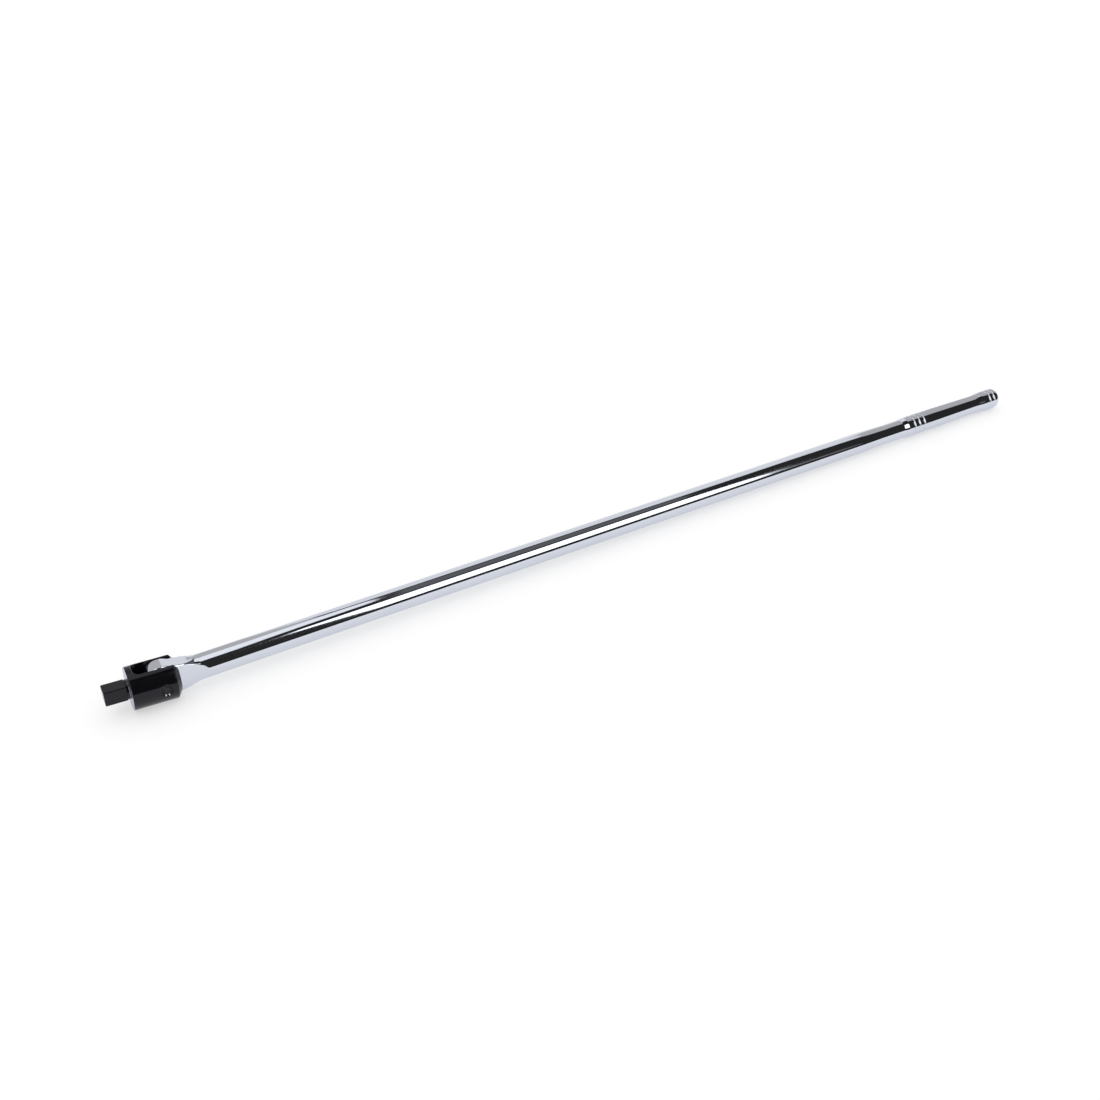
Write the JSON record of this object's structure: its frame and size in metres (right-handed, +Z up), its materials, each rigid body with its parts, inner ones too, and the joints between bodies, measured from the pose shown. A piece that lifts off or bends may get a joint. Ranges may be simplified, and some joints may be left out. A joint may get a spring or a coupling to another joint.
{
  "type": "breaker bar",
  "caption": "Long chrome breaker bar with a black fork head that swings on a cross pin and ends in a half-inch square drive.",
  "frame": {"origin": "middle of the bottom of the whole tool's box, head at its rest angle; the pivot is at x = -422.6 mm, z = 16.2 mm", "axes": "+X along the bar from the head to the grip, Y along the pivot pin, +Z up"},
  "size_m": [0.9352, 0.035, 0.0352],
  "materials": {
    "chrome_bar": "polished chrome plate over forged steel, fine polishing marks along the bar",
    "black_head": "black oxide on turned and ground alloy steel, oiled, semi-gloss",
    "pin_steel": "ground pin, black oxide, satin end faces",
    "ball_steel": "polished ball-bearing steel",
    "spring_steel": "drawn spring wire, lightly oiled"
  },
  "bodies": {
    "handle": {"handle_bar": "chrome_bar", "friction_ball": "ball_steel", "friction_spring": "spring_steel"},
    "head": {"drive_head": "black_head", "pivot_pin": "pin_steel", "socket_ball_spring": "spring_steel"},
    "retaining_ball": {"socket_ball": "ball_steel"}
  },
  "joints": [
    {"name": "head_swing", "type": "hinge", "parent": "handle", "child": "head", "pos_m": [-0.42257, 0, 0.01617], "axis": [0, 1, 0], "range_deg": [-108.5, 101.5]},
    {"name": "socket_ball_press", "type": "slide", "parent": "head", "child": "retaining_ball", "axis": [0.061, 0, 0.9981], "range_m": [0, 0.00085], "stiffness_N_per_m": 1500, "springref_m": -0.0005, "deforming": ["socket_ball_spring"]}
  ]
}
